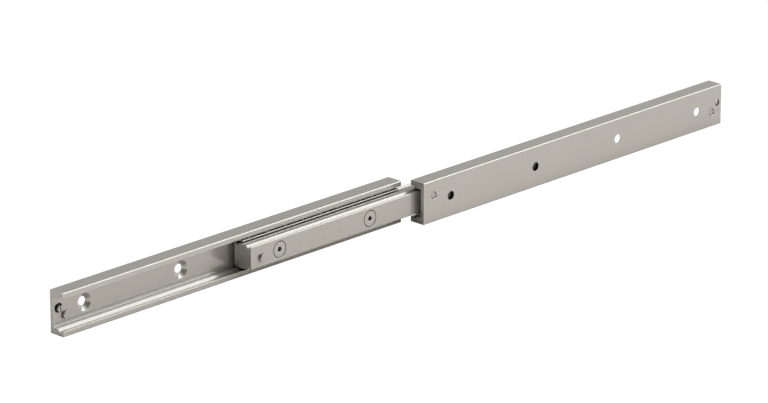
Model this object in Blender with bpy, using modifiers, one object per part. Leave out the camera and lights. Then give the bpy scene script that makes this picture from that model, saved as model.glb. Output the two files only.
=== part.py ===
"""Full-extension ball-bearing cabinet drawer slide, drawn out to its full stroke.

Two identical C-shaped rails lie back to back: one is screwed to the cabinet, the other to the drawer. A bar
made of two grooved sliders, screwed together, runs in both of them on caged balls. Metres, +Z up, +X is the
way the drawer opens, and the origin is the centre of the fixed rail's back face, which lies on the cabinet.
"""

import math

import bmesh
import bpy
from mathutils import Matrix, Vector

MM = 0.001

# Driving dimensions, in millimetres
RAIL_LENGTH = 290.0
RAIL_HEIGHT = 28.0
RAIL_DEPTH = 11.6  # web's outer face to the lips' faces
SLIDE_DEPTH = 26.0  # cabinet face to drawer face
WEB = 2.8
STAGE_TRAVEL = 148.0  # travel of each of the two stages: the whole stroke is twice this

# Rail profile: depths are from the web's outer face, heights from mid-height
LEDGE = 9.8  # half the channel's height behind the raceway
LIP_LAND = 10.45  # half the channel's height at its mouth
RACEWAY_DEPTH = 8.2
RACEWAY_APEX = 11.7
CORNER_CHAMFER = 0.65
WEB_CORNER_R = 1.0
LIP_CORNER_R = 0.45
LIP_EDGE_R = 0.25

# Slider profile: depths are from the joint plane between the two sliders
JOINT_GAP = 0.1
SLIDER_DEPTH = 7.3
SLIDER_LAND = 7.8  # half height of the wide land by the joint plane
SLIDER_LIP = 7.5  # half height of the narrow land outside the raceway
SLIDER_RACEWAY = 4.8
SLIDER_APEX = 6.04
SLIDER_EDGE_R = 0.65

# Countersunk mounting holes in the rails, and the screws that join the sliders
HOLE_STATIONS = (-120.0, -40.0, 40.0, 120.0)
HOLE_D = 5.8
SINK_D = 11.4
SCREW_SINK_D = 11.0
SCREW_HEAD_D = 10.5
SCREW_D = 5.0
SCREW_HOLE_D = 5.5
SCREW_TAP_D = 5.3
SCREW_TAP_DEPTH = 6.0
SCREW_LENGTH = 13.0
SCREW_RECESS = 0.1
HEX_FLATS = 3.0
HEX_DEPTH = 2.0

# Stop pins and the end stop screw: stations are from mid-length, heights from mid-height
PIN_STATION = 135.6
RAIL_PIN_HEIGHT = 3.9
SLIDER_PIN_HEIGHT = 1.6
PIN_HEAD_D = 5.0
PIN_PROUD = 2.0
PIN_D = 4.0
PIN_HOLE_D = 4.2
PIN_MOUTH_D = 5.2
PIN_END_RECESS = 0.25
SLIDER_PIN_DEPTH = 3.8
STOP_SCREW_STATION = 140.8
STOP_SCREW_HEIGHT = 1.6
STOP_SCREW_D = 4.2
STOP_SCREW_HOLE_D = 4.4
STOP_SCREW_SINK_D = 6.4
SLOT_WIDTH = 0.7
SLOT_DEPTH = 0.9

# Balls and their cages
BALL_D = 4.0
BALL_CLEARANCE = 0.1
BALL_HEIGHT = 8.87
BALLS_PER_ROW = 9
BALL_PITCH = 15.5
CAGE_LENGTH = 138.0
CAGE_SHEET = 0.8
CAGE_HALF_HEIGHT = 9.2
CAGE_BACK = 3.85  # rail web's outer face to the cage's web
CAGE_FRONT = 11.2
CAGE_BEND_R = 1.0
CAGE_POCKET_D = 4.5
CAGE_NOTCH = 10.2
CAGE_NOTCH_HALF = 6.9

SEAT_GAP = 0.05  # between a head and the face that it is seated on
TURNED_SIDES = 20
POCKET_SIDES = 10
SPARE = 1.0  # how far a cutter runs past the face it breaks through

for old in list(bpy.data.objects):
    bpy.data.objects.remove(old, do_unlink=True)
for old in list(bpy.data.collections):
    bpy.data.collections.remove(old)

parts = bpy.data.collections.new("cabinet_drawer_slide")
cutters = bpy.data.collections.new("cutters")
bpy.context.scene.collection.children.link(parts)
bpy.context.scene.collection.children.link(cutters)
cutters.hide_render = True


def make_material(name, colour, roughness, metallic=1.0):
    made = bpy.data.materials.new(name)
    made.use_nodes = True
    shader = made.node_tree.nodes["Principled BSDF"]
    shader.inputs["Base Color"].default_value = colour
    shader.inputs["Roughness"].default_value = roughness
    shader.inputs["Metallic"].default_value = metallic
    made.diffuse_color = colour
    return made


rail_steel = make_material("rail_steel", (0.50, 0.48, 0.44, 1.0), 0.36)
slider_steel = make_material("slider_steel", (0.47, 0.45, 0.41, 1.0), 0.34)
cage_steel = make_material("cage_steel", (0.56, 0.52, 0.43, 1.0), 0.42)
pin_steel = make_material("pin_steel", (0.48, 0.46, 0.42, 1.0), 0.30)
screw_steel = make_material("screw_steel", (0.45, 0.43, 0.40, 1.0), 0.30)
ball_steel = make_material("ball_steel", (0.60, 0.60, 0.60, 1.0), 0.12)


def make_body(name, x, parent=None):
    """An empty on the travel axis, at the middle of the rigid body whose pieces it carries."""
    empty = bpy.data.objects.new(name, None)
    parts.objects.link(empty)
    empty.empty_display_size = 10 * MM
    empty.parent = parent
    empty.location = (x * MM, 0, 0)
    return empty


fixed_body = make_body("fixed_rail_body", 0.0)
rear_cage_body = make_body("rear_cage_body", STAGE_TRAVEL / 2, fixed_body)
intermediate_body = make_body("intermediate_body", STAGE_TRAVEL, fixed_body)
front_cage_body = make_body("front_cage_body", STAGE_TRAVEL / 2, intermediate_body)
moving_body = make_body("moving_rail_body", STAGE_TRAVEL, intermediate_body)


def place(obj, carrier, at=(0, 0, 0), turn=0.0, finish=None):
    """Puts a piece on its body, at millimetres from the body's middle, turned about X."""
    if finish is None:
        cutters.objects.link(obj)
        obj.hide_render = True
        obj.display_type = "WIRE"
    else:
        parts.objects.link(obj)
        obj.data.materials.clear()
        obj.data.materials.append(finish)
    obj.parent = carrier
    if turn:
        obj.rotation_euler = (turn, 0, 0)
    obj.location = Vector(at) * MM
    return obj


def cut(obj, cutter):
    modifier = obj.modifiers.new("cut_" + cutter.name, "BOOLEAN")
    modifier.operation = "DIFFERENCE"
    modifier.object = cutter


def rounded(corners):
    """A closed outline's points, from its corners as (x, y, radius)."""
    points = []
    for i, (x, y, radius) in enumerate(corners):
        here = Vector((x, y))
        if not radius:
            points.append(here)
            continue
        back = (Vector(corners[i - 1][:2]) - here).normalized()
        ahead = (Vector(corners[(i + 1) % len(corners)][:2]) - here).normalized()
        opening = back.angle(ahead)
        centre = here + (back + ahead).normalized() * radius / math.sin(opening / 2)
        start = here + back * radius / math.tan(opening / 2) - centre
        sweep = math.copysign(math.pi - opening, back.cross(ahead) * -1)
        steps = 3 if radius > 0.5 else 2
        for step in range(steps + 1):
            points.append(centre + Matrix.Rotation(sweep * step / steps, 2) @ start)
    return points


def mirrored(upper):
    """A profile's corners all round, from those of its upper half."""
    return upper + [(x, -y, radius) for x, y, radius in reversed(upper)]


def extruded(name, corners, length):
    """A bar along X of one section, given in Y and Z."""
    curve = bpy.data.curves.new(name + "_outline", "CURVE")
    curve.dimensions = "2D"
    curve.fill_mode = "BOTH"
    curve.extrude = length / 2 * MM
    outline = rounded(corners)
    spline = curve.splines.new("POLY")
    spline.points.add(len(outline) - 1)
    for point, (y, z) in zip(spline.points, outline):
        point.co = (y * MM, z * MM, 0, 1)
    spline.use_cyclic_u = True
    drawn = bpy.data.objects.new(name + "_outline", curve)
    # The outline's x and y become Y and Z, and its thickness runs along X.
    drawn.matrix_world = Matrix(((0, 0, 1, 0), (1, 0, 0, 0), (0, 1, 0, 0), (0, 0, 0, 1)))
    bpy.context.scene.collection.objects.link(drawn)
    bpy.context.view_layer.update()
    graph = bpy.context.evaluated_depsgraph_get()
    mesh = bpy.data.meshes.new_from_object(drawn.evaluated_get(graph))
    mesh.transform(drawn.matrix_world)
    mesh.name = name
    welded = bmesh.new()
    welded.from_mesh(mesh)
    bmesh.ops.remove_doubles(welded, verts=welded.verts, dist=0.00001)
    bmesh.ops.recalc_face_normals(welded, faces=welded.faces)
    welded.to_mesh(mesh)
    welded.free()
    bpy.data.objects.remove(drawn)
    bpy.data.curves.remove(curve)
    return bpy.data.objects.new(name, mesh)


def turned(name, profile, sides=TURNED_SIDES):
    """A solid of revolution about Z, from its half profile, listed from top to bottom."""
    mesh = bpy.data.meshes.new(name)
    shape = bmesh.new()
    rim = [shape.verts.new((r * MM, 0, z * MM)) for r, z in profile]
    for a, b in zip(rim, rim[1:]):
        shape.edges.new((a, b))
    shape.to_mesh(mesh)
    shape.free()
    obj = bpy.data.objects.new(name, mesh)
    screw = obj.modifiers.new("turn", "SCREW")
    screw.steps = sides
    screw.render_steps = sides
    screw.use_merge_vertices = True
    screw.merge_threshold = 0.00001
    screw.use_smooth_shade = True
    return obj


def boxes(name, spans):
    """One mesh of separate boxes, each given by its lowest and highest corner."""
    mesh = bpy.data.meshes.new(name)
    shape = bmesh.new()
    for low, high in spans:
        low, high = Vector(low) * MM, Vector(high) * MM
        frame = Matrix.Translation((low + high) / 2) @ Matrix.Diagonal((*(high - low), 1))
        bmesh.ops.create_cube(shape, size=1, matrix=frame)
    shape.to_mesh(mesh)
    shape.free()
    return bpy.data.objects.new(name, mesh)


def posts(name, centres, diameter, height, sides):
    """One mesh of separate upright prisms, centred on the given points."""
    mesh = bpy.data.meshes.new(name)
    shape = bmesh.new()
    for centre in centres:
        bmesh.ops.create_cone(
            shape,
            cap_ends=True,
            segments=sides,
            radius1=diameter / 2 * MM,
            radius2=diameter / 2 * MM,
            depth=height * MM,
            matrix=Matrix.Translation(Vector(centre) * MM),
        )
    shape.to_mesh(mesh)
    shape.free()
    return bpy.data.objects.new(name, mesh)


# A turned piece points along its local +Z: to the front (-Y) or to the back (+Y).
TO_FRONT = math.radians(90)
TO_BACK = math.radians(-90)


def rail_section(side):
    """side is -1 for the rail that opens to the front, and 1 for the one that opens to the back."""
    base = 0.0 if side < 0 else -SLIDE_DEPTH
    half = RAIL_HEIGHT / 2
    upper = [
        (0.0, half, WEB_CORNER_R),
        (RAIL_DEPTH, half, LIP_CORNER_R),
        (RAIL_DEPTH, LIP_LAND, LIP_EDGE_R),
        (RACEWAY_DEPTH + RACEWAY_APEX - LIP_LAND, LIP_LAND, 0),
        (RACEWAY_DEPTH, RACEWAY_APEX, 0),
        (RACEWAY_DEPTH - RACEWAY_APEX + LEDGE, LEDGE, 0),
        (WEB + CORNER_CHAMFER, LEDGE, 0),
        (WEB, LEDGE - CORNER_CHAMFER, 0),
    ]
    return mirrored([(base + side * d, h, r) for d, h, r in upper])


def slider_section(side):
    """side is -1 for the slider in front of the joint plane, and 1 for the one behind it."""
    base = -SLIDE_DEPTH / 2
    upper = [
        (JOINT_GAP / 2, SLIDER_LAND, 0),
        (SLIDER_RACEWAY - SLIDER_LAND + SLIDER_APEX, SLIDER_LAND, 0),
        (SLIDER_RACEWAY, SLIDER_APEX, 0),
        (SLIDER_RACEWAY + SLIDER_LIP - SLIDER_APEX, SLIDER_LIP, 0),
        (SLIDER_DEPTH, SLIDER_LIP, SLIDER_EDGE_R),
    ]
    return mirrored([(base + side * d, h, r) for d, h, r in upper])


def cage_section(side):
    base = 0.0 if side < 0 else -SLIDE_DEPTH
    inner = CAGE_HALF_HEIGHT - CAGE_SHEET
    upper = [
        (CAGE_BACK, CAGE_HALF_HEIGHT, CAGE_BEND_R),
        (CAGE_FRONT, CAGE_HALF_HEIGHT, 0),
        (CAGE_FRONT, inner, 0),
        (CAGE_BACK + CAGE_SHEET, inner, CAGE_BEND_R - CAGE_SHEET),
    ]
    return mirrored([(base + side * d, h, r) for d, h, r in upper])


def screw_hole_profile():
    """Countersink from the inner face, which is local z = 0, through the web."""
    sink, hole = SINK_D / 2, HOLE_D / 2
    return [
        (0, SPARE),
        (sink + SPARE, SPARE),
        (hole, hole - sink),
        (hole, -WEB - SPARE),
        (0, -WEB - SPARE),
    ]


def pin_hole_profile():
    mouth, hole = PIN_MOUTH_D / 2, PIN_HOLE_D / 2
    return [
        (0, SPARE),
        (hole, SPARE),
        (hole, -WEB + mouth - hole),
        (mouth + SPARE, -WEB - SPARE),
        (0, -WEB - SPARE),
    ]


def stop_screw_hole_profile():
    sink, hole = STOP_SCREW_SINK_D / 2, STOP_SCREW_HOLE_D / 2
    return [
        (0, SPARE),
        (sink + SPARE, SPARE),
        (hole, hole - sink),
        (hole, -WEB - SPARE),
        (0, -WEB - SPARE),
    ]


def pin_profile(length):
    """A headed stop pin, seated at local z = 0, with a shank of this length."""
    head, shank = PIN_HEAD_D / 2, PIN_D / 2
    return [
        (0, PIN_PROUD),
        (head - 0.3, PIN_PROUD),
        (head, PIN_PROUD - 0.3),
        (head, SEAT_GAP),
        (shank, SEAT_GAP),
        (shank, 0.3 - length),
        (shank - 0.3, -length),
        (0, -length),
    ]


def add_stop_pin(name, carrier, at, turn, length):
    return place(turned(name, pin_profile(length)), carrier, at, turn, pin_steel)


def add_rail(prefix, carrier, side):
    """A rail with its holes and its stops. side as in rail_section: the rail's outer end is at X = side."""
    base = 0.0 if side < 0 else -SLIDE_DEPTH
    inner_face = base + side * WEB
    turn = TO_FRONT if side < 0 else TO_BACK
    outer_end = side
    rail = place(extruded(prefix, rail_section(side), RAIL_LENGTH), carrier, finish=rail_steel)

    for n, station in enumerate(HOLE_STATIONS, 1):
        hole = turned(f"{prefix}_hole_{n}", screw_hole_profile(), 28)
        cut(rail, place(hole, carrier, (station, inner_face, 0), turn))

    stops = (
        ("inner_stop_pin", -outer_end * PIN_STATION, RAIL_PIN_HEIGHT),
        ("outer_stop_pin", outer_end * PIN_STATION, -RAIL_PIN_HEIGHT),
    )
    for name, station, height in stops:
        at = (station, inner_face, height)
        hole = turned(f"{prefix}_{name}_hole", pin_hole_profile())
        cut(rail, place(hole, carrier, at, turn))
        add_stop_pin(f"{prefix}_{name}", carrier, at, turn, WEB - PIN_END_RECESS)

    at = (outer_end * STOP_SCREW_STATION, inner_face, STOP_SCREW_HEIGHT)
    hole = turned(f"{prefix}_end_stop_hole", stop_screw_hole_profile())
    cut(rail, place(hole, carrier, at, turn))
    radius = STOP_SCREW_D / 2
    end = PIN_END_RECESS - WEB
    profile = [
        (0, PIN_PROUD),
        (radius - 0.3, PIN_PROUD),
        (radius, PIN_PROUD - 0.3),
        (radius, end + 0.3),
        (radius - 0.3, end),
        (0, end),
    ]
    screw = place(turned(f"{prefix}_end_stop_screw", profile), carrier, at, turn, screw_steel)
    slot = boxes(
        f"{prefix}_end_stop_slot",
        [
            (
                (-SLOT_WIDTH / 2, -STOP_SCREW_D, PIN_PROUD - SLOT_DEPTH),
                (SLOT_WIDTH / 2, STOP_SCREW_D, PIN_PROUD + SPARE),
            )
        ],
    )
    cut(screw, place(slot, carrier, at, turn))
    return rail


def add_slider(prefix, side):
    """A slider with its two stop pins. The front one (side -1) takes the screws' heads."""
    carrier = intermediate_body
    slider = place(
        extruded(prefix, slider_section(side), RAIL_LENGTH), carrier, finish=slider_steel
    )
    face = -SLIDE_DEPTH / 2 + side * SLIDER_DEPTH
    turn = TO_FRONT if side < 0 else TO_BACK
    # Seen from outside its own face, a slider has its low pin on the left and its high pin on the right.
    for name, station, height in (
        ("left_stop_pin", -PIN_STATION, side * SLIDER_PIN_HEIGHT),
        ("right_stop_pin", PIN_STATION, -side * SLIDER_PIN_HEIGHT),
    ):
        at = (station, face, height)
        depth = SLIDER_PIN_DEPTH + 0.2
        bore = [(0, SPARE), (PIN_HOLE_D / 2, SPARE), (PIN_HOLE_D / 2, -depth), (0, -depth)]
        cut(slider, place(turned(f"{prefix}_{name}_hole", bore), carrier, at, turn))
        add_stop_pin(f"{prefix}_{name}", carrier, at, turn, SLIDER_PIN_DEPTH)
    return slider, face


def add_slider_screws(front, rear, front_face):
    sink, hole = SCREW_SINK_D / 2, SCREW_HOLE_D / 2
    head, shank = SCREW_HEAD_D / 2, SCREW_D / 2
    through = [
        (0, SPARE),
        (sink + SPARE, SPARE),
        (hole, hole - sink),
        (hole, -SLIDER_DEPTH - SPARE),
        (0, -SLIDER_DEPTH - SPARE),
    ]
    tapped = [
        (0, SPARE),
        (SCREW_TAP_D / 2, SPARE),
        (SCREW_TAP_D / 2, -SCREW_TAP_DEPTH),
        (0, -SCREW_TAP_DEPTH),
    ]
    screw_profile = [
        (0, -SCREW_RECESS),
        (head, -SCREW_RECESS),
        (shank, -SCREW_RECESS - head + shank),
        (shank, 0.4 - SCREW_LENGTH),
        (shank - 0.4, -SCREW_LENGTH),
        (0, -SCREW_LENGTH),
    ]
    joint = -SLIDE_DEPTH / 2
    for n, station in enumerate(HOLE_STATIONS, 1):
        at = (station, front_face, 0)
        hole_cutter = turned(f"slider_screw_hole_{n}", through, 24)
        cut(front, place(hole_cutter, intermediate_body, at, TO_FRONT))
        tap_cutter = turned(f"slider_screw_tap_{n}", tapped)
        tap_at = (station, joint, 0)
        cut(rear, place(tap_cutter, intermediate_body, tap_at, TO_FRONT))
        screw = turned(f"slider_screw_{n}", screw_profile, 24)
        place(screw, intermediate_body, at, TO_FRONT, screw_steel)
        hexagon = posts(
            f"slider_screw_socket_{n}",
            [(0, 0, -HEX_DEPTH / 2)],
            HEX_FLATS / math.cos(math.pi / 6),
            HEX_DEPTH + 2 * SCREW_RECESS,
            6,
        )
        cut(screw, place(hexagon, intermediate_body, at, TO_FRONT))


def add_cage(prefix, carrier, side):
    """A C-shaped ball cage with its two rows of balls."""
    base = 0.0 if side < 0 else -SLIDE_DEPTH
    cage = place(
        extruded(f"{prefix}_ball_cage", cage_section(side), CAGE_LENGTH),
        carrier,
        finish=cage_steel,
    )
    row_depth = base + side * RACEWAY_DEPTH
    stations = [(i - (BALLS_PER_ROW - 1) / 2) * BALL_PITCH for i in range(BALLS_PER_ROW)]
    pockets = posts(
        f"{prefix}_cage_pockets",
        [(x, row_depth, 0) for x in stations],
        CAGE_POCKET_D,
        2 * CAGE_HALF_HEIGHT + 4 * SPARE,
        POCKET_SIDES,
    )
    cut(cage, place(pockets, carrier))
    back = base + side * CAGE_BACK
    low, high = sorted((back - side * SPARE, back + side * (CAGE_SHEET + SPARE)))
    ends = []
    for end in (-1, 1):
        xs = sorted((end * (CAGE_LENGTH / 2 - CAGE_NOTCH), end * (CAGE_LENGTH / 2 + SPARE)))
        ends.append(
            ((xs[0], low, -CAGE_NOTCH_HALF), (xs[1], high, CAGE_NOTCH_HALF)),
        )
    cut(cage, place(boxes(f"{prefix}_cage_notches", ends), carrier))

    ball = bpy.data.meshes.new(f"{prefix}_ball")
    shape = bmesh.new()
    radius = (BALL_D / 2 - BALL_CLEARANCE) * MM
    bmesh.ops.create_uvsphere(shape, u_segments=8, v_segments=6, radius=radius)
    shape.to_mesh(ball)
    shape.free()
    ball.shade_smooth()
    for row, height in (("upper", BALL_HEIGHT), ("lower", -BALL_HEIGHT)):
        for n, x in enumerate(stations, 1):
            obj = bpy.data.objects.new(f"{prefix}_{row}_ball_{n}", ball)
            place(obj, carrier, (x, row_depth, height), finish=ball_steel)


add_rail("fixed_rail", fixed_body, -1)
add_rail("moving_rail", moving_body, 1)
front_slider, slider_face = add_slider("front_slider", -1)
rear_slider, _ = add_slider("rear_slider", 1)
add_slider_screws(front_slider, rear_slider, slider_face)
add_cage("rear", rear_cage_body, -1)
add_cage("front", front_cage_body, 1)

bpy.context.view_layer.update()
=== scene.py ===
"""The looks of the cabinet drawer slide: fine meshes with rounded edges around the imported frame, and plated-steel
materials. All mesh sizes below are in millimetres and are turned into metres when a mesh is made."""

import math

import bpy
from mathutils import Matrix, Vector
from mathutils.geometry import delaunay_2d_cdt


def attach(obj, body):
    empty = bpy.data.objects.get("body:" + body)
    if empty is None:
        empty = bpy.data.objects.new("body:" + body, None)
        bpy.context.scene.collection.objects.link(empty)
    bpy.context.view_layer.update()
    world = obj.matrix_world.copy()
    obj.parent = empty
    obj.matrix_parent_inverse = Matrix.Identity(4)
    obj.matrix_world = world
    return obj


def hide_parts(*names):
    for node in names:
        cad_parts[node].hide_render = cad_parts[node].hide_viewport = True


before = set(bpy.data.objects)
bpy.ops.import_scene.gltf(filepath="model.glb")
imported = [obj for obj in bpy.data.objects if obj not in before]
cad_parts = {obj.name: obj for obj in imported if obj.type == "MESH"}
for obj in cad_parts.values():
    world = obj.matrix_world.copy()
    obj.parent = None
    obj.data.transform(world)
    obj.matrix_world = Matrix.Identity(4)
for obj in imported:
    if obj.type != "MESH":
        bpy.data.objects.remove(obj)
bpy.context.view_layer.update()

# ---------------------------------------------------------------- sizes, as in the CAD part

RAIL_HALF = 145.0
DEPTH = 26.0
WEB = 2.8
HOLES = (-120.0, -40.0, 40.0, 120.0)
STAGE = 148.0
EDGE = 0.3  # width of the burnished band beside an outside edge


def near(a, b, within=1e-6):
    return abs(a - b) < within


# ---------------------------------------------------------------- outlines with rounded corners


def strips_of(corners, closed, side):
    """Pieces of an outline as dicts: ends p0, p1 with their normals n0, n1, and whether each end wears. The normal is to
    the left of travel for side 1, and to the right for side -1. A corner is (x, y, radius)."""
    count = len(corners)
    points = [Vector(c[:2]) for c in corners]

    def normal(direction):
        return Vector((-direction.y, direction.x)) * side

    cornered = []
    for i in range(count):
        here, radius = points[i], corners[i][2]
        if not closed and i in (0, count - 1):
            cornered.append((here, here, None))
            continue
        back = (points[i - 1] - here).normalized()
        ahead = (points[(i + 1) % count] - here).normalized()
        cross = back.x * ahead.y - back.y * ahead.x
        if not radius or abs(cross) < 1e-9:
            cornered.append((here, here, None))
            continue
        opening = back.angle(ahead)
        reach = radius / math.tan(opening / 2)
        centre = here + (back + ahead).normalized() * radius / math.sin(opening / 2)
        sweep = math.copysign(math.pi - opening, -cross)
        start = here + back * reach
        # Outside corners are those whose normals spread apart.
        outside = normal(-back).dot(start - centre) > 0
        steps = max(2, math.ceil(abs(sweep) / math.radians(90 / (7 if radius > 0.4 else 5))))
        arc = []
        for step in range(steps + 1):
            turned = Matrix.Rotation(sweep * step / steps, 2) @ (start - centre)
            arc.append((centre + turned, turned.normalized() * (1 if outside else -1)))
        cornered.append((start, here + ahead * reach, (arc, outside)))
    out = []
    for i in range(count):
        if cornered[i][2]:
            arc, outside = cornered[i][2]
            wear = 1.0 if outside else 0.0
            for (a, na), (b, nb) in zip(arc, arc[1:]):
                out.append({"p0": a, "p1": b, "n0": na, "n1": nb, "w0": wear, "w1": wear})
        if not closed and i == count - 1:
            break
        j = (i + 1) % count
        a, b = cornered[i][1], cornered[j][0]
        if (b - a).length < 1e-7:
            continue
        n = normal((b - a).normalized())
        worn_a = bool(cornered[i][2] and cornered[i][2][1])
        worn_b = bool(cornered[j][2] and cornered[j][2][1])
        length = (b - a).length
        marks = [(0.0, float(worn_a)), (1.0, float(worn_b))]
        if length > 4 * EDGE:
            share = EDGE / length
            inner = []
            if worn_a:
                inner.append((share, 0.0))
            if worn_b:
                inner.append((1 - share, 0.0))
            marks = [marks[0], *inner, marks[1]]
        else:
            marks = [(0.0, 0.0), (1.0, 0.0)]
        for (s, ws), (t, wt) in zip(marks, marks[1:]):
            start = a if s == 0.0 else a.lerp(b, s)
            end = b if t == 1.0 else a.lerp(b, t)
            out.append({"p0": start, "p1": end, "n0": n, "n1": n, "w0": ws, "w1": wt, "flat": True})
    return out


def ccw(corners):
    area = sum(
        corners[i - 1][0] * corners[i][1] - corners[i][0] * corners[i - 1][1]
        for i in range(len(corners))
    )
    return corners if area > 0 else corners[::-1]


def mirrored(upper):
    return upper + [(x, -y, radius) for x, y, radius in reversed(upper)]


# ---------------------------------------------------------------- mesh maker


class Maker:
    """Collects faces with exact corner normals. Points are in millimetres and shared where they coincide."""

    def __init__(self):
        self.points, self.index = [], {}
        self.faces, self.normals, self.worn, self.cut = [], [], [], []

    def vertex(self, p):
        key = tuple(round(c, 5) for c in p)
        if key not in self.index:
            self.index[key] = len(self.points)
            self.points.append(tuple(c * 0.001 for c in p))
        return self.index[key]

    def face(self, points, normals, worn=None, cut=0.0):
        if isinstance(normals, Vector):
            normals = [normals] * len(points)
        worn = worn or [0.0] * len(points)
        ids, ns, ws, ps = [], [], [], []
        for p, n, w in zip(points, normals, worn):
            v = self.vertex(p)
            if v in ids:
                continue
            ids.append(v)
            ns.append(n)
            ws.append(w)
            ps.append(Vector(p))
        if len(ids) < 3:
            return
        facing = Vector((0, 0, 0))
        for i in range(len(ps)):
            facing += ps[i - 1].cross(ps[i])
        mean = sum(ns, Vector((0, 0, 0)))
        if facing.length < 1e-12:
            return
        if facing.dot(mean) < 0:
            ids, ns, ws = ids[::-1], ns[::-1], ws[::-1]
        self.faces.append(ids)
        self.normals.append(ns)
        self.worn.append(ws)
        self.cut.append(cut)

    def fill(self, outer, holes, to_plane, normal, cut=0.0):
        """A flat face bounded by a loop of 3-D points, with holes. to_plane gives a point's place in its plane."""
        loops = [outer, *holes]
        flat = [[Vector(to_plane(p)) for p in loop] for loop in loops]
        points, edges, solid = [], [], []
        for loop, plane in zip(loops, flat):
            first = len(points)
            points += plane
            solid += loop
            n = len(plane)
            edges += [(first + i, first + (i + 1) % n) for i in range(n)]
        made, _, faces, kept, _, _ = delaunay_2d_cdt(points, edges, [], 0, 1e-7, True)
        real = [solid[ids[0]] for ids in kept]
        for face in faces:
            centre = sum((made[i] for i in face), Vector((0, 0))) / len(face)
            if not inside(centre, flat[0]) or any(inside(centre, hole) for hole in flat[1:]):
                continue
            self.face([real[i] for i in face], normal, None, cut)

    def build(self, name, material):
        mesh = bpy.data.meshes.new(name)
        mesh.from_pydata(self.points, [], self.faces)
        mesh.polygons.foreach_set("use_smooth", [True] * len(self.faces))
        mesh.materials.append(material)
        for title, values in (
            ("worn", [w for ws in self.worn for w in ws]),
            ("cut", [c for c, face in zip(self.cut, self.faces) for _ in face]),
        ):
            layer = mesh.attributes.new(title, "FLOAT", "CORNER")
            layer.data.foreach_set("value", values)
        mesh.normals_split_custom_set([tuple(n.normalized()) for ns in self.normals for n in ns])
        obj = bpy.data.objects.new(name, mesh)
        bpy.context.scene.collection.objects.link(obj)
        return obj


def inside(p, loop):
    hit = False
    for i in range(len(loop)):
        a, b = loop[i - 1], loop[i]
        if (a.y > p.y) != (b.y > p.y) and p.x < (b.x - a.x) * (p.y - a.y) / (b.y - a.y) + a.x:
            hit = not hit
    return hit


def ring(centre, plane, radius, offset, sides, phase=0.0):
    """A circle's points. plane is (first direction, second direction, axis)."""
    e1, e2, axis = plane
    out = []
    for i in range(sides):
        turn = 2 * math.pi * (i + phase) / sides
        p = centre + (e1 * math.cos(turn) + e2 * math.sin(turn)) * radius + axis * offset
        out.append((p.x, p.y, p.z))
    return out


def revolve(maker, centre, plane, profile, sides, cut=0.0):
    """Surface of revolution through a profile's strips, whose points are (radius, offset along the axis)."""
    e1, e2, axis = plane
    for s in profile:
        r0, t0, r1, t1 = s["p0"].x, s["p0"].y, s["p1"].x, s["p1"].y
        a = ring(centre, plane, r0, t0, sides)
        b = ring(centre, plane, r1, t1, sides)
        for i in range(sides):
            j = (i + 1) % sides
            normals = []
            for k, n in ((i, s["n0"]), (j, s["n0"]), (j, s["n1"]), (i, s["n1"])):
                turn = 2 * math.pi * k / sides
                radial = e1 * math.cos(turn) + e2 * math.sin(turn)
                normals.append(radial * n.x + axis * n.y)
            worn = [s["w0"], s["w0"], s["w1"], s["w1"]]
            maker.face([a[i], a[j], b[j], b[i]], normals, worn, cut)


X, Y, Z = Vector((1, 0, 0)), Vector((0, 1, 0)), Vector((0, 0, 1))
ACROSS = lambda axis: (X, Z, axis)


def drill(maker, centre, axis, profile, sides=64):
    """Lines a hole, and returns its first and last rims for the faces that it opens into. axis points into the metal."""
    strips = strips_of(profile, False, 1)
    plane = ACROSS(axis)
    revolve(maker, centre, plane, strips, sides, -0.2)
    first = ring(centre, plane, strips[0]["p0"].x, strips[0]["p0"].y, sides)
    last = ring(centre, plane, strips[-1]["p1"].x, strips[-1]["p1"].y, sides)
    return first, last


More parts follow.
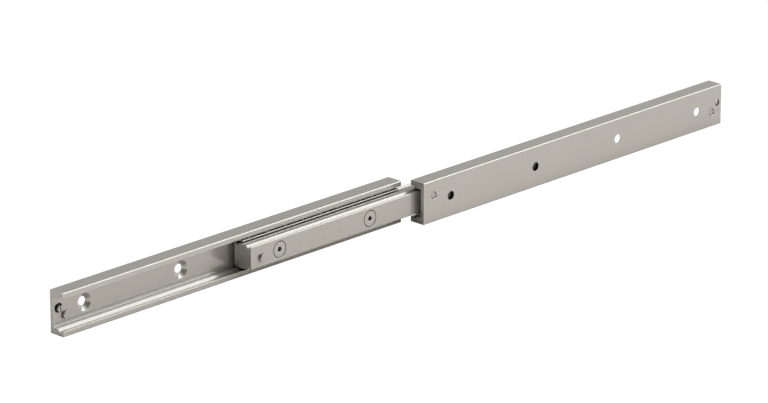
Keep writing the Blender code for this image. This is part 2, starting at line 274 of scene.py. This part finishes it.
def bar(maker, corners, x0, x1, walls, radius=0.12):
    """A bar along X. walls is a list of (y, loops): holes in the upright face at that Y."""
    strips = strips_of(ccw(corners), True, -1)
    count = len(strips)
    xa, xb = x0 + radius, x1 - radius
    stations = [(xa, 1.0), (xa + EDGE, 0.0), (xb - EDGE, 0.0), (xb, 1.0)]
    for s in strips:
        n0 = Vector((0, s["n0"].x, s["n0"].y))
        n1 = Vector((0, s["n1"].x, s["n1"].y))
        for k, ((u, wu), (v, wv)) in enumerate(zip(stations, stations[1:])):
            corner = [
                (u, s["p0"].x, s["p0"].y),
                (v, s["p0"].x, s["p0"].y),
                (v, s["p1"].x, s["p1"].y),
                (u, s["p1"].x, s["p1"].y),
            ]
            holes = []
            if k == 1 and s.get("flat") and near(s["p0"].x, s["p1"].x) and abs(s["p0"].y - s["p1"].y) > 8:
                holes = [loop for y, loops in walls if near(y, s["p0"].x, 1e-4) for loop in loops]
            if holes:
                maker.fill(corner, holes, lambda p: (p[0], p[2]), n0)
                continue
            worn = [max(wu, s["w0"]), max(wv, s["w0"]), max(wv, s["w1"]), max(wu, s["w1"])]
            maker.face(corner, [n0, n0, n1, n1], worn)
    # The outline shrinks round the end's edge, by the mean of the normals that meet at each point.
    mitre = []
    for i, s in enumerate(strips):
        before, after = strips[i - 1]["n1"], s["n0"]
        mitre.append((before + after) / (1 + before.dot(after)))
    steps = 4
    for end, sign in ((xb, 1), (xa, -1)):
        rings = []
        for k in range(steps + 1):
            turn = math.pi / 2 * k / steps
            shrink = radius * (1 - math.cos(turn))
            x = end + sign * radius * math.sin(turn)
            rings.append(
                [(x, s["p0"].x - m.x * shrink, s["p0"].y - m.y * shrink) for s, m in zip(strips, mitre)]
            )
        for k in range(steps):
            for i, s in enumerate(strips):
                j = (i + 1) % count
                normals = []
                for step, n in ((k, s["n0"]), (k, s["n1"]), (k + 1, s["n1"]), (k + 1, s["n0"])):
                    turn = math.pi / 2 * step / steps
                    flat = Vector((0, n.x, n.y)) * math.cos(turn)
                    normals.append(flat + X * sign * math.sin(turn))
                corner = [rings[k][i], rings[k][j], rings[k + 1][j], rings[k + 1][i]]
                maker.face(corner, normals, [1.0] * 4)
        maker.fill(rings[-1], [], lambda p: (p[1], p[2]), X * sign, 1.0)


# ---------------------------------------------------------------- materials


def metal(
    name,
    colour,
    roughness,
    streak=0.010,
    cloud=0.022,
    rough_streak=0.02,
    rough_cloud=0.03,
    bump=0.03,
    along=14.0,
    across=1500.0,
    worn_gain=0.10,
    cut_loss=0.10,
    speck=0.0,
    metallic=0.5,
):
    """Plated steel: fine lines along X from drawing, slow cloudy changes, burnished outside edges and duller cut ends
    with a painted cool tint, and painted shade that darkens the base colour in narrow gaps.
    """
    made = bpy.data.materials.new(name)
    made.use_nodes = True
    made.diffuse_color = (*colour, 1)
    tree = made.node_tree
    shader = tree.nodes["Principled BSDF"]
    shader.inputs["Metallic"].default_value = metallic
    shader.inputs["Specular IOR Level"].default_value = 0.5

    def node(kind, **settings):
        fresh = tree.nodes.new(kind)
        for key, value in settings.items():
            setattr(fresh, key, value)
        return fresh

    def link(a, b):
        tree.links.new(a, b)

    def math_node(operation, a, b, clamp=False):
        fresh = node("ShaderNodeMath", operation=operation, use_clamp=clamp)
        for socket, value in zip(fresh.inputs, (a, b)):
            if isinstance(value, (int, float)):
                socket.default_value = value
            else:
                link(value, socket)
        return fresh.outputs[0]

    place = node("ShaderNodeTexCoord").outputs["Object"]

    def noise(scale, detail, roughness_, stretch=(1, 1, 1), distortion=0.0, shift=(0, 0, 0)):
        mapping = node("ShaderNodeMapping")
        mapping.inputs["Scale"].default_value = stretch
        mapping.inputs["Location"].default_value = shift
        link(place, mapping.inputs["Vector"])
        fresh = node("ShaderNodeTexNoise")
        fresh.inputs["Scale"].default_value = scale
        fresh.inputs["Detail"].default_value = detail
        fresh.inputs["Roughness"].default_value = roughness_
        fresh.inputs["Distortion"].default_value = distortion
        link(mapping.outputs[0], fresh.inputs["Vector"])
        return fresh.outputs["Fac"]

    lines = noise(1.0, 4.0, 0.62, (along, across, across))
    clouds = noise(38.0, 3.0, 0.55, (0.45, 1.0, 1.0), 0.3, (3.1, 0.7, 1.9))
    grain = noise(5200.0, 2.0, 0.5)

    def centred(value, gain):
        return math_node("MULTIPLY", math_node("SUBTRACT", value, 0.5), 2 * gain)

    worn = node("ShaderNodeAttribute", attribute_name="worn").outputs["Fac"]
    cut = node("ShaderNodeAttribute", attribute_name="cut").outputs["Fac"]
    dull = math_node("MAXIMUM", cut, 0.0)
    bare = math_node("MAXIMUM", math_node("MULTIPLY", cut, -1.0), 0.0)
    link(math_node("ADD", metallic, math_node("MULTIPLY", bare, 1.0 - metallic), True), shader.inputs["Metallic"])

    # Brightness factor of the plating
    gain = math_node("ADD", 1.0, centred(lines, streak))
    gain = math_node("ADD", gain, centred(clouds, cloud))
    gain = math_node("ADD", gain, centred(grain, 0.012 + speck))
    gain = math_node("ADD", gain, math_node("MULTIPLY", worn, worn_gain))
    gain = math_node("SUBTRACT", gain, math_node("MULTIPLY", dull, cut_loss))
    # Painted shade: the base colour darkens in narrow gaps, hollows and sockets, where shade falls, by ambient
    # occlusion.
    gap_shade_occlusion = node("ShaderNodeAmbientOcclusion", samples=8)
    gap_shade_occlusion.inputs["Distance"].default_value = 0.0026
    painted_gap_shade = node("ShaderNodeMapRange", interpolation_type="SMOOTHSTEP")
    for socket, value in (("From Min", 0.28), ("From Max", 0.80), ("To Min", 0.06), ("To Max", 1.0)):
        painted_gap_shade.inputs[socket].default_value = value
    link(gap_shade_occlusion.outputs["AO"], painted_gap_shade.inputs["Value"])
    # The painted gap shade multiplies the plating's brightness.
    gain = math_node("MULTIPLY", gain, painted_gap_shade.outputs["Result"])
    tint = node("ShaderNodeVectorMath", operation="SCALE")
    tint.inputs[0].default_value = colour
    link(gain, tint.inputs["Scale"])
    # Painted light colour: the cut ends get a cooler tint that cancels the warm cast of the floor's bounced light in
    # their shade.
    shade_cool_tint = node("ShaderNodeVectorMath", operation="SCALE")
    shade_cool_tint.inputs[0].default_value = (-0.008, 0.0, 0.012)
    link(dull, shade_cool_tint.inputs["Scale"])
    toned = node("ShaderNodeVectorMath", operation="ADD")
    link(tint.outputs[0], toned.inputs[0])
    link(shade_cool_tint.outputs[0], toned.inputs[1])
    link(toned.outputs[0], shader.inputs["Base Color"])

    rough = math_node("ADD", roughness, centred(lines, rough_streak))
    rough = math_node("ADD", rough, centred(clouds, rough_cloud))
    rough = math_node("SUBTRACT", rough, math_node("MULTIPLY", worn, 0.05))
    rough = math_node("SUBTRACT", rough, math_node("MULTIPLY", bare, 0.06))
    rough = math_node("ADD", rough, math_node("MULTIPLY", dull, 0.10), True)
    link(rough, shader.inputs["Roughness"])

    height = math_node("ADD", math_node("MULTIPLY", lines, 1.0), math_node("MULTIPLY", grain, 0.5))
    relief = node("ShaderNodeBump")
    relief.inputs["Strength"].default_value = bump
    relief.inputs["Distance"].default_value = 0.00001
    link(height, relief.inputs["Height"])
    link(relief.outputs[0], shader.inputs["Normal"])
    return made


rail_look = metal("rail_plating", (0.525, 0.495, 0.445), 0.19, worn_gain=0.2)
slider_look = metal("slider_plating", (0.495, 0.465, 0.415), 0.19, worn_gain=0.0)
cage_look = metal("cage_zinc", (0.80, 0.75, 0.64), 0.34, streak=0.02, bump=0.08)
pin_look = metal("pin_plating", (0.48, 0.46, 0.42), 0.18, along=60, across=900, bump=0.03, metallic=1.0)
screw_look = metal("screw_plating", (0.50, 0.47, 0.42), 0.20, along=60, across=900, bump=0.03)
stop_look = metal("stop_screw_plating", (0.48, 0.46, 0.42), 0.18, along=60, across=900, bump=0.03, metallic=1.0)
ball_look = metal(
    "ball_polish", (0.45, 0.45, 0.44), 0.10, streak=0.01, rough_streak=0.015, rough_cloud=0.03, bump=0.02, along=200, across=200, metallic=1.0
)

# ---------------------------------------------------------------- rails


def show(maker, name, material, slot, body, *nodes):
    obj = maker.build(name, material)
    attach(obj, body)
    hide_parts(*nodes)
    return obj


RAIL_CORNERS = [
    (0.0, 14.0, 0.6),
    (11.6, 14.0, 0.6),
    (11.6, 10.45, 0.28),
    (9.45, 10.45, 0.15),
    (8.2, 11.7, 0.20),
    (6.3, 9.8, 0.15),
    (3.2, 9.8, 0.12),
    (2.8, 9.4, 0.12),
]


def rail(name, body, centre_x, side):
    base = 0.0 if side < 0 else -DEPTH
    maker = Maker()
    inner, outer = base + side * WEB, base
    into = Y * -side  # from the inner face towards the outer one
    inner_loops, outer_loops = [], []
    sink, hole = 5.7, 2.9
    countersunk = [
        (sink + 0.35, 0, 0),
        (sink, 0, 0.12),
        (hole + 0.06, 2.25, 0.05),
        (hole + 0.06, WEB, 0.05),
        (hole + 0.4, WEB, 0),
    ]
    for x in HOLES:
        first, last = drill(maker, Vector((centre_x + x, inner, 0)), into, countersunk, 72)
        inner_loops.append(first)
        outer_loops.append(last)
    pinned = [
        (2.1 + 0.3, 0, 0),
        (2.1, 0, 0.08),
        (2.1, WEB - 0.9, 0.08),
        (2.6, WEB, 0.25),
        (2.6 + 0.3, WEB, 0),
    ]
    for x, z in ((-side * 135.6, 3.9), (side * 135.6, -3.9)):
        first, last = drill(maker, Vector((centre_x + x, inner, z)), into, pinned, 48)
        inner_loops.append(first)
        outer_loops.append(last)
    stopped = [
        (3.2 + 0.3, 0, 0),
        (3.2, 0, 0.08),
        (2.2, 1.0, 0.08),
        (2.2, WEB, 0.08),
        (2.2 + 0.3, WEB, 0),
    ]
    first, last = drill(maker, Vector((centre_x + side * 140.8, inner, 1.6)), into, stopped, 48)
    inner_loops.append(first)
    outer_loops.append(last)
    corners = mirrored([(base + side * d, h, r) for d, h, r in RAIL_CORNERS])
    bar(
        maker,
        corners,
        centre_x - RAIL_HALF,
        centre_x + RAIL_HALF,
        [(inner, inner_loops), (outer, outer_loops)],
    )
    return show(maker, f"{name}_body", rail_look, "rail_steel", body, name)


rail("fixed_rail", "fixed_rail", 0.0, -1)
rail("moving_rail", "moving_rail", 2 * STAGE, 1)

# ---------------------------------------------------------------- sliders

SLIDER_CORNERS = [
    (0.05, 7.8, 0.13),
    (3.04, 7.8, 0.20),
    (4.8, 6.04, 0.20),
    (6.26, 7.5, 0.15),
    (7.3, 7.5, 0.65),
]


def slider(name, side):
    joint = -DEPTH / 2
    face, back = joint + side * 7.3, joint + side * 0.05
    maker = Maker()
    into = Y * -side
    face_loops, back_loops = [], []
    for x in HOLES:
        if side < 0:
            through = [
                (5.5 + 0.3, 0, 0),
                (5.5, 0, 0.2),
                (5.5, 0.45, 0.05),
                (2.75, 3.2, 0.10),
                (2.75, 7.25, 0.08),
                (2.75 + 0.3, 7.25, 0),
            ]
            first, last = drill(maker, Vector((STAGE + x, face, 0)), into, through, 72)
            face_loops.append(first)
            back_loops.append(last)
        else:
            tapped = [(2.65 + 0.4, 0, 0), (2.65 + 0.1, 0, 0), (2.65, 0.3, 0), (2.65, 5.95, 0), (0, 6.4, 0)]
            first, _ = drill(maker, Vector((STAGE + x, back, 0)), Y * side, tapped, 48)
            back_loops.append(first)
    bore = [(2.1 + 0.25, 0, 0), (2.1, 0, 0.06), (2.1, 4.0, 0), (0, 4.3, 0)]
    for x, z in ((-135.6, side * 1.6), (135.6, -side * 1.6)):
        first, _ = drill(maker, Vector((STAGE + x, face, z)), into, bore, 48)
        face_loops.append(first)
    corners = mirrored([(joint + side * d, h, r) for d, h, r in SLIDER_CORNERS])
    bar(
        maker,
        corners,
        STAGE - RAIL_HALF,
        STAGE + RAIL_HALF,
        [(face, face_loops), (back, back_loops)],
    )
    return show(maker, f"{name}_body", slider_look, "slider_steel", "intermediate", name)


slider("front_slider", -1)
slider("rear_slider", 1)

# ---------------------------------------------------------------- stop pins


def headed_pin(node, body, at, out, length, proud=1.8, head=2.5, shank=2.0):
    """out is the direction that the head stands in."""
    maker = Maker()
    profile = [
        (0, proud, 0),
        (head, proud, 0.14),
        (head, 0.05, 0.12),
        (shank, 0.05, 0),
        (shank, -length, 0.3),
        (0, -length, 0),
    ]
    revolve(maker, Vector(at), ACROSS(out), strips_of(profile, False, 1), 48)
    return show(maker, f"{node}_body", pin_look, "pin_steel", body, node)


def slotted_screw(node, body, at, out):
    """The end stop: a cylinder with a slotted end. Its slot is upright."""
    maker = Maker()
    centre, radius, top, bottom = Vector(at), 2.1, 2.0, -(WEB - 0.25)
    soft, half, floor = 0.25, 0.35, 2.0 - 0.9
    # Angles where the slot's two walls meet the rim are among the ring's points.
    wall = math.acos(half / radius)
    marks = [wall + (math.pi - 2 * wall) * i / 6 for i in range(7)]
    marks += [math.pi - wall + 2 * wall * i / 20 for i in range(1, 20)]
    marks += [m + math.pi for m in marks[:7]]
    marks += [2 * math.pi - wall + 2 * wall * i / 20 for i in range(1, 20)]
    count = len(marks)

    def at_angle(m, r, t):
        p = centre + (X * math.cos(m) + Z * math.sin(m)) * r + out * t
        return (p.x, p.y, p.z)

    in_slot = [i < 6 or 26 <= i < 32 for i in range(count)]
    upper = [(radius, floor), (radius, top - soft)]
    rounding = []
    for k in range(5):
        turn = math.pi / 2 * k / 4
        rounding.append((radius - soft + soft * math.cos(turn), top - soft + soft * math.sin(turn), turn))
    for i in range(count):
        j = (i + 1) % count
        a, b = marks[i], marks[j]
        ra, rb = X * math.cos(a) + Z * math.sin(a), X * math.cos(b) + Z * math.sin(b)
        maker.face(
            [at_angle(a, radius, bottom + 0.6), at_angle(b, radius, bottom + 0.6), at_angle(b, radius, floor), at_angle(a, radius, floor)],
            [ra, rb, rb, ra],
        )
        maker.face(
            [at_angle(a, radius - 1.1, bottom), at_angle(b, radius - 1.1, bottom), at_angle(b, radius, bottom + 0.6), at_angle(a, radius, bottom + 0.6)],
            [ra * 0.6 - out * 1.1, rb * 0.6 - out * 1.1, rb * 0.6 - out * 1.1, ra * 0.6 - out * 1.1],
            [1.0] * 4,
        )
        maker.face([at_angle(a, 0, bottom), at_angle(a, radius - 1.1, bottom), at_angle(b, radius - 1.1, bottom)], -out)
        if in_slot[i]:
            continue
        maker.face(
            [at_angle(a, radius, floor), at_angle(b, radius, floor), at_angle(b, radius, top - soft), at_angle(a, radius, top - soft)],
            [ra, rb, rb, ra],
        )
        for (r0, t0, m0), (r1, t1, m1) in zip(rounding, rounding[1:]):
            # The rounding keeps each point's distance from the slot's middle line, so that the walls stay flat.
            corner, normals = [], []
            for m, r, t, turn in ((a, r0, t0, m0), (b, r0, t0, m0), (b, r1, t1, m1), (a, r1, t1, m1)):
                corner.append(slot_point(centre, out, m, r, t, wall, half))
                radial = X * math.cos(m) + Z * math.sin(m)
                normals.append(radial * math.cos(turn) + out * math.sin(turn))
            maker.face(corner, normals, [0.7] * 4)
    for start, stop in ((6, 26), (32, count)):
        loop = []
        for i in range(start, stop + 1):
            m = marks[i % count] + (2 * math.pi if i >= count else 0)
            loop.append(slot_point(centre, out, m, radius - soft, top, wall, half))
        maker.fill(loop, [], lambda p: (p[0], p[2]), out)
    # Slot: floor and walls
    floor_loop = [at_angle(marks[i], radius, floor) for i in range(0, 7)]
    floor_loop += [at_angle(marks[i], radius, floor) for i in range(26, 33)]
    maker.fill(floor_loop, [], lambda p: (p[0], p[2]), out, 0.6)
    for first, second, facing in ((0, 32, -X), (6, 26, X)):
        rim = []
        for i, order in ((first, 1), (second, -1)):
            m = marks[i % count]
            side_points = [at_angle(m, radius, floor)]
            side_points += [slot_point(centre, out, m, r, t, wall, half) for r, t, _ in rounding]
            rim += side_points[::order] if order == -1 else side_points
        maker.fill(rim, [], lambda p: (p[1], p[2]), facing, 0.6)
    return show(maker, f"{node}_body", stop_look, "screw_steel", body, node)


def slot_point(centre, out, m, r, t, wall, half):
    """A point of the slotted end at angle m and radius r. At the slot's walls it stays in the wall's plane."""
    x, z = math.cos(m) * r, math.sin(m) * r
    for edge in (wall, math.pi - wall, math.pi + wall, 2 * math.pi - wall):
        if near(math.sin(m), math.sin(edge), 1e-9) and near(math.cos(m), math.cos(edge), 1e-9):
            x = math.copysign(half, math.cos(m))
            z = math.copysign(math.sqrt(r * r - half * half), math.sin(m))
    p = centre + X * x + Z * z + out * t
    return (p.x, p.y, p.z)


for prefix, centre_x, side in (("fixed_rail", 0.0, -1), ("moving_rail", 2 * STAGE, 1)):
    inner = (0.0 if side < 0 else -DEPTH) + side * WEB
    out = Y * side
    for title, x, z in (
        ("inner_stop_pin", -side * 135.6, 3.9),
        ("outer_stop_pin", side * 135.6, -3.9),
    ):
        headed_pin(f"{prefix}_{title}", prefix, (centre_x + x, inner, z), out, WEB - 0.4)
    slotted_screw(f"{prefix}_end_stop_screw", prefix, (centre_x + side * 140.8, inner, 1.6), out)

for prefix, side in (("front_slider", -1), ("rear_slider", 1)):
    face = -DEPTH / 2 + side * 7.3
    for title, x, z in (("left_stop_pin", -135.6, side * 1.6), ("right_stop_pin", 135.6, -side * 1.6)):
        headed_pin(f"{prefix}_{title}", "intermediate", (STAGE + x, face, z), Y * side, 3.8)

# ---------------------------------------------------------------- socket screws that join the sliders


def socket_screw(node, x):
    """Countersunk head with a hexagon socket, and a threaded shank."""
    maker = Maker()
    face = -DEPTH / 2 - 7.3
    centre, into = Vector((STAGE + x, face, 0)), Y
    plane = ACROSS(into)
    sides = 72
    hexagon = 3.0 / math.sqrt(3)
    head = 5.02
    profile = [(3.2, 0.1, 0), (head, 0.1, 0.06), (head, 0.75, 0.03), (2.5, 0.75 + head - 2.5, 0.3), (2.5, 4.2, 0)]
    strips = strips_of(profile, False, -1)
    revolve(maker, centre, plane, strips, sides)
    # Thread: rounded ridges down to the tip
    pitch, t = 0.8, 4.2
    ridges = [(2.5, 4.2, 0)]
    while t + pitch < 12.4:
        ridges += [(2.12, t + 0.3, 0.06), (2.12, t + 0.42, 0.06), (2.5, t + 0.72, 0.05), (2.5, t + pitch, 0.05)]
        t += pitch
    ridges += [(2.12, 12.95 - 0.1, 0.06), (0, 12.95 - 0.1, 0)]
    revolve(maker, centre, plane, strips_of(ridges, False, -1), 36 * 2)
    # Head's face, with the chamfered socket
    rim = ring(centre, plane, 3.2, 0.1, sides)
    outer_hex = ring(centre, plane, hexagon + 0.14, 0.1, 6)
    inner_hex = ring(centre, plane, hexagon, 0.22, 6)
    floor_hex = ring(centre, plane, hexagon, 2.0, 6)
    tip = ring(centre, plane, 0.0, 2.35, 1)[0]
    maker.fill(rim, [outer_hex], lambda p: (p[0], p[2]), -into)
    for i in range(6):
        j = (i + 1) % 6
        middle = 2 * math.pi * (i + 0.5) / 6
        inward = -(X * math.cos(middle) + Z * math.sin(middle))
        maker.face([outer_hex[i], outer_hex[j], inner_hex[j], inner_hex[i]], inward - into, [1.0] * 4)
        maker.face([inner_hex[i], inner_hex[j], floor_hex[j], floor_hex[i]], inward)
        maker.face([floor_hex[i], floor_hex[j], tip], inward * 0.3 - into)
    return show(maker, f"{node}_body", screw_look, "screw_steel", "intermediate", node)


for n, x in enumerate(HOLES, 1):
    socket_screw(f"slider_screw_{n}", x)

# ---------------------------------------------------------------- cages and balls

BALL_XS = [(i - 4) * 15.5 for i in range(9)]


def cage(name, body, centre_x, side):
    base = 0.0 if side < 0 else -DEPTH
    maker = Maker()
    half, sheet, back, front = 9.2, 0.8, 3.85, 11.2
    x0, x1 = centre_x - 69.0, centre_x + 69.0
    notch, notch_half = 10.2, 6.9
    upper = [
        (back, half, 1.0),
        (front, half, 0.1),
        (front, half - sheet, 0.1),
        (back + sheet, half - sheet, 0.25),
    ]
    strips = strips_of(ccw(mirrored([(base + side * d, h, r) for d, h, r in upper])), True, -1)
    # Pockets through both flanges
    pockets = {}
    for z_sign in (1, -1):
        top, low = [], []
        for x in BALL_XS:
            centre = Vector((centre_x + x, base + side * 8.2, z_sign * half))
            plane = (X, Y, Z * -z_sign)
            profile = strips_of(
                [(2.2, 0, 0), (2.04, 0, 0.04), (2.04, sheet, 0.04), (2.2, sheet, 0)], False, 1
            )
            revolve(maker, centre, plane, profile, 40)
            top.append(ring(centre, plane, 2.2, 0, 40))
            low.append(ring(centre, plane, 2.2, sheet, 40))
        pockets[round(z_sign * half, 3)] = top
        pockets[round(z_sign * (half - sheet), 3)] = low
    web_ys = (base + side * back, base + side * (back + sheet))
    for s in strips:
        n0 = Vector((0, s["n0"].x, s["n0"].y))
        n1 = Vector((0, s["n1"].x, s["n1"].y))
        corner = [
            (x0, s["p0"].x, s["p0"].y),
            (x1, s["p0"].x, s["p0"].y),
            (x1, s["p1"].x, s["p1"].y),
            (x0, s["p1"].x, s["p1"].y),
        ]
        flat = s.get("flat")
        if flat and near(s["p0"].y, s["p1"].y) and round(s["p0"].y, 3) in pockets and abs(s["p0"].x - s["p1"].x) > 5:
            maker.fill(corner, pockets[round(s["p0"].y, 3)], lambda p: (p[0], p[1]), n0)
        elif flat and near(s["p0"].x, s["p1"].x) and any(near(s["p0"].x, y, 1e-4) for y in web_ys) and abs(s["p0"].y - s["p1"].y) > 2 * notch_half:
            y = s["p0"].x
            up = 1 if s["p1"].y > 0 else -1
            a, b = -up * notch_half, up * notch_half
            maker.fill(
                [
                    corner[0],
                    corner[1],
                    (x1, y, a),
                    (x1 - notch, y, a),
                    (x1 - notch, y, b),
                    (x1, y, b),
                    corner[2],
                    corner[3],
                    (x0, y, b),
                    (x0 + notch, y, b),
                    (x0 + notch, y, a),
                    (x0, y, a),
                ],
                [],
                lambda p: (p[0], p[2]),
                n0,
            )
        else:
            maker.face(corner, [n0, n0, n1, n1], [s["w0"], s["w0"], s["w1"], s["w1"]])
    ya, yb = web_ys
    for x_end, x_in, sign in ((x1, x1 - notch, 1), (x0, x0 + notch, -1)):
        for z in (notch_half, -notch_half):
            maker.face(
                [(x_end, ya, z), (x_end, yb, z), (x_in, yb, z), (x_in, ya, z)], Z * (-1 if z > 0 else 1), None, 1.0
            )
        maker.face(
            [(x_in, ya, -notch_half), (x_in, yb, -notch_half), (x_in, yb, notch_half), (x_in, ya, notch_half)],
            X * sign,
            None,
            1.0,
        )
        # The end's two hooks: the part of the section beyond the notch, above and below
        for z_sign in (1, -1):
            loop = []
            for s in strips:
                p = s["p0"]
                here, there = p.y * z_sign > notch_half, s["p1"].y * z_sign > notch_half
                if here:
                    loop.append((x_end, p.x, p.y))
                if here != there and near(s["p0"].x, s["p1"].x):
                    loop.append((x_end, p.x, z_sign * notch_half))
            maker.fill(loop, [], lambda p: (p[1], p[2]), X * sign, 1.0)
    return show(maker, f"{name}_body", cage_look, "cage_steel", body, name)


def balls(prefix, body, centre_x, side):
    base = 0.0 if side < 0 else -DEPTH
    for row, z in (("upper", 8.87), ("lower", -8.87)):
        maker = Maker()
        arc, steps, radius = [], 16, 1.97
        for i in range(steps):
            a, b = math.pi * i / steps, math.pi * (i + 1) / steps
            pa, pb = Vector((math.sin(a), math.cos(a))), Vector((math.sin(b), math.cos(b)))
            if i == 0:
                pa = Vector((0, 1))
            if i == steps - 1:
                pb = Vector((0, -1))
            arc.append({"p0": pa * radius, "p1": pb * radius, "n0": pa, "n1": pb, "w0": 0.0, "w1": 0.0})
        for x in BALL_XS:
            revolve(maker, Vector((centre_x + x, base + side * 8.2, z)), (X, Y, Z), arc, 32)
        nodes = [f"{prefix}_{row}_ball_{n}" for n in range(1, 10)]
        show(maker, f"{prefix}_{row}_balls", ball_look, "ball_steel", body, *nodes)


cage("rear_ball_cage", "rear_cage", STAGE / 2, -1)
cage("front_ball_cage", "front_cage", STAGE * 1.5, 1)
balls("rear", "rear_cage", STAGE / 2, -1)
balls("front", "front_cage", STAGE * 1.5, 1)

# ---------------------------------------------------------------- studio


def plain(name, colour, strength=None):
    made = bpy.data.materials.new(name)
    made.use_nodes = True
    tree = made.node_tree
    shader = tree.nodes["Principled BSDF"]
    shader.inputs["Base Color"].default_value = (*colour, 1)
    shader.inputs["Roughness"].default_value = 0.9
    shader.inputs["Specular IOR Level"].default_value = 0.0
    if strength:
        shader.inputs["Base Color"].default_value = (0, 0, 0, 1)
        shader.inputs["Emission Color"].default_value = (*colour, 1)
        shader.inputs["Emission Strength"].default_value = strength
    return made


def sheet_at(name, z, size, material):
    mesh = bpy.data.meshes.new(name)
    cx, cy, h = 0.148, -0.013, size / 2
    mesh.from_pydata(
        [(cx - h, cy - h, z), (cx + h, cy - h, z), (cx + h, cy + h, z), (cx - h, cy + h, z)], [], [(0, 1, 2, 3)]
    )
    mesh.materials.append(material)
    obj = bpy.data.objects.new(name, mesh)
    bpy.context.scene.collection.objects.link(obj)
    return obj


# The floor that the camera sees is plain white; the one below it carries the soft bounced light.
floor = sheet_at("floor", -0.0142, 60.0, plain("floor_white", (1, 1, 1), 1.05))
floor.visible_diffuse = floor.visible_glossy = floor.visible_transmission = floor.visible_shadow = False
# It lights nothing, so it isn't sampled as a lamp either.
floor.data.materials[0].cycles.emission_sampling = "NONE"
bounce = sheet_at("floor_bounce", -0.0143, 12.0, plain("floor_bounce_white", (0.89, 0.845, 0.80)))
bounce.visible_camera = False

world = bpy.data.worlds.new("studio")
bpy.context.scene.world = world
world.use_nodes = True
background = world.node_tree.nodes["Background"]
background.inputs["Color"].default_value = (0.96, 0.98, 1.0, 1)
background.inputs["Strength"].default_value = 0.12
world.cycles.sampling_method = "NONE"

# Broad, soft panels, far away: the elevation and azimuth of each one's middle in degrees, and its brightness.
# Most stand overhead and to the right of the camera, with weak ones behind. None stands on the left.
PANELS = [
    ("overhead", 90, 0, 1.16),
    ("high_right", 66, 0, 2.39),
    ("high_right_back", 66, 60, 0.96),
    ("high_back", 66, 120, 1.37),
    ("high_left_front", 66, 240, 0.33),
    ("high_front", 66, 300, 1.75),
    ("upper_right", 45, 8, 0.56),
    ("upper_right_back", 45, 44, 0.20),
    ("upper_back", 45, 80, 0.52),
    ("upper_back_left", 45, 116, 0.83),
    ("upper_left_back", 45, 152, 1.12),
    ("upper_front", 45, 296, 0.85),
    ("upper_front_right", 45, 332, 2.40),
    ("middle_right", 25, 0, 0.79),
    ("middle_right_back", 25, 28, 0.34),
    ("middle_back_right", 25, 55, 0.20),
    ("middle_back_left", 25, 138, 0.55),
    ("middle_front", 25, 305, 2.10),
    ("middle_front_right", 25, 332, 2.12),
    ("low_left_back", 7, 164, 0.33),
    ("low_front", 7, 293, 1.70),
    ("low_front_right", 7, 319, 1.13),
    ("low_right", 7, 344, 0.82),
]
PANEL_ANGLE = math.radians(29)
for name, up, around, brightness in PANELS:
    light = bpy.data.lights.new(name, "SUN")
    light.angle = PANEL_ANGLE
    light.energy = 1.02 * brightness * math.pi * math.sin(PANEL_ANGLE / 2) ** 2
    light.color = (1.0, 0.985, 0.95) if "right_back" in name or "back_right" in name else (0.90, 0.95, 1.0)
    panel = bpy.data.objects.new(name, light)
    bpy.context.scene.collection.objects.link(panel)
    up, around = math.radians(up), math.radians(around)
    away = Vector((math.cos(up) * math.cos(around), math.cos(up) * math.sin(around), math.sin(up)))
    panel.rotation_mode = "QUATERNION"
    panel.rotation_quaternion = away.to_track_quat("Z", "Y")

camera_data = bpy.data.cameras.new("camera")
camera = bpy.data.objects.new("camera", camera_data)
bpy.context.scene.collection.objects.link(camera)
bpy.context.scene.camera = camera
camera_data.lens = 230.698
camera_data.sensor_width = 36.0
azimuth, elevation = math.radians(-45.7198), math.radians(19.1656)
behind = Vector(
    (
        math.sin(azimuth) * math.cos(elevation),
        -math.cos(azimuth) * math.cos(elevation),
        math.sin(elevation),
    )
)
camera.location = (-1.983598, -2.072203, 1.029768)
camera.rotation_mode = "QUATERNION"
camera.rotation_quaternion = (-behind).to_track_quat("-Z", "Y")
camera_data.clip_start, camera_data.clip_end = 0.05, 200.0

bpy.context.scene.view_settings.view_transform = "Standard"

bpy.context.view_layer.update()
